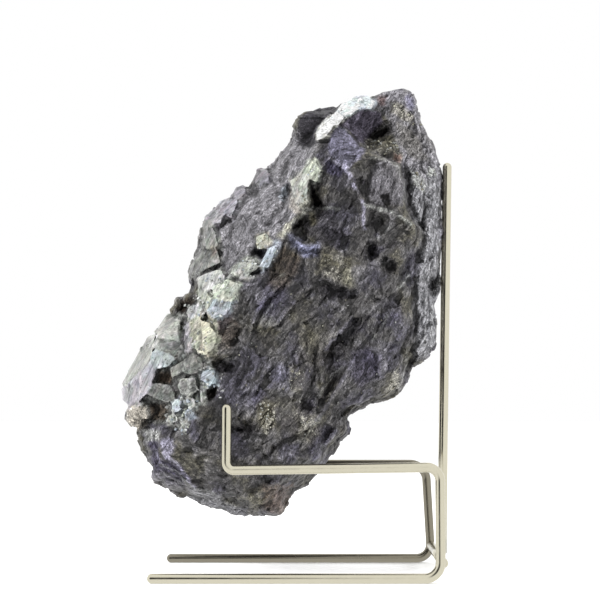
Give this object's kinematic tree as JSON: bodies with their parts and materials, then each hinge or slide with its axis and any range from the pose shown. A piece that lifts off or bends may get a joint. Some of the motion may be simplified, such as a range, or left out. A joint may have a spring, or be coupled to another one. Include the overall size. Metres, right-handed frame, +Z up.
{
  "type": "skutterudite specimen on a wire stand",
  "caption": "Rough dark metallic ore with pale crystals along one edge, leaning upright in a bent-wire display stand with two hooked arms and a back post.",
  "frame": {"origin": "middle of the whole object's box, on the surface that the foot rails stand on", "axes": "+Z up; +X from the hooks towards the back post; +Y away from the side that the picture shows"},
  "size_m": [0.1152, 0.058, 0.1662],
  "materials": {
    "ore": "broken metallic ore, dark violet grey, with bright silver-grey crystal faces",
    "wire": "satin nickel-plated steel wire"
  },
  "bodies": {
    "root": {"specimen": "ore", "near_cradle_wire": "wire", "far_cradle_wire": "wire", "back_post": "wire", "cross_bar": "wire"}
  },
  "joints": []
}
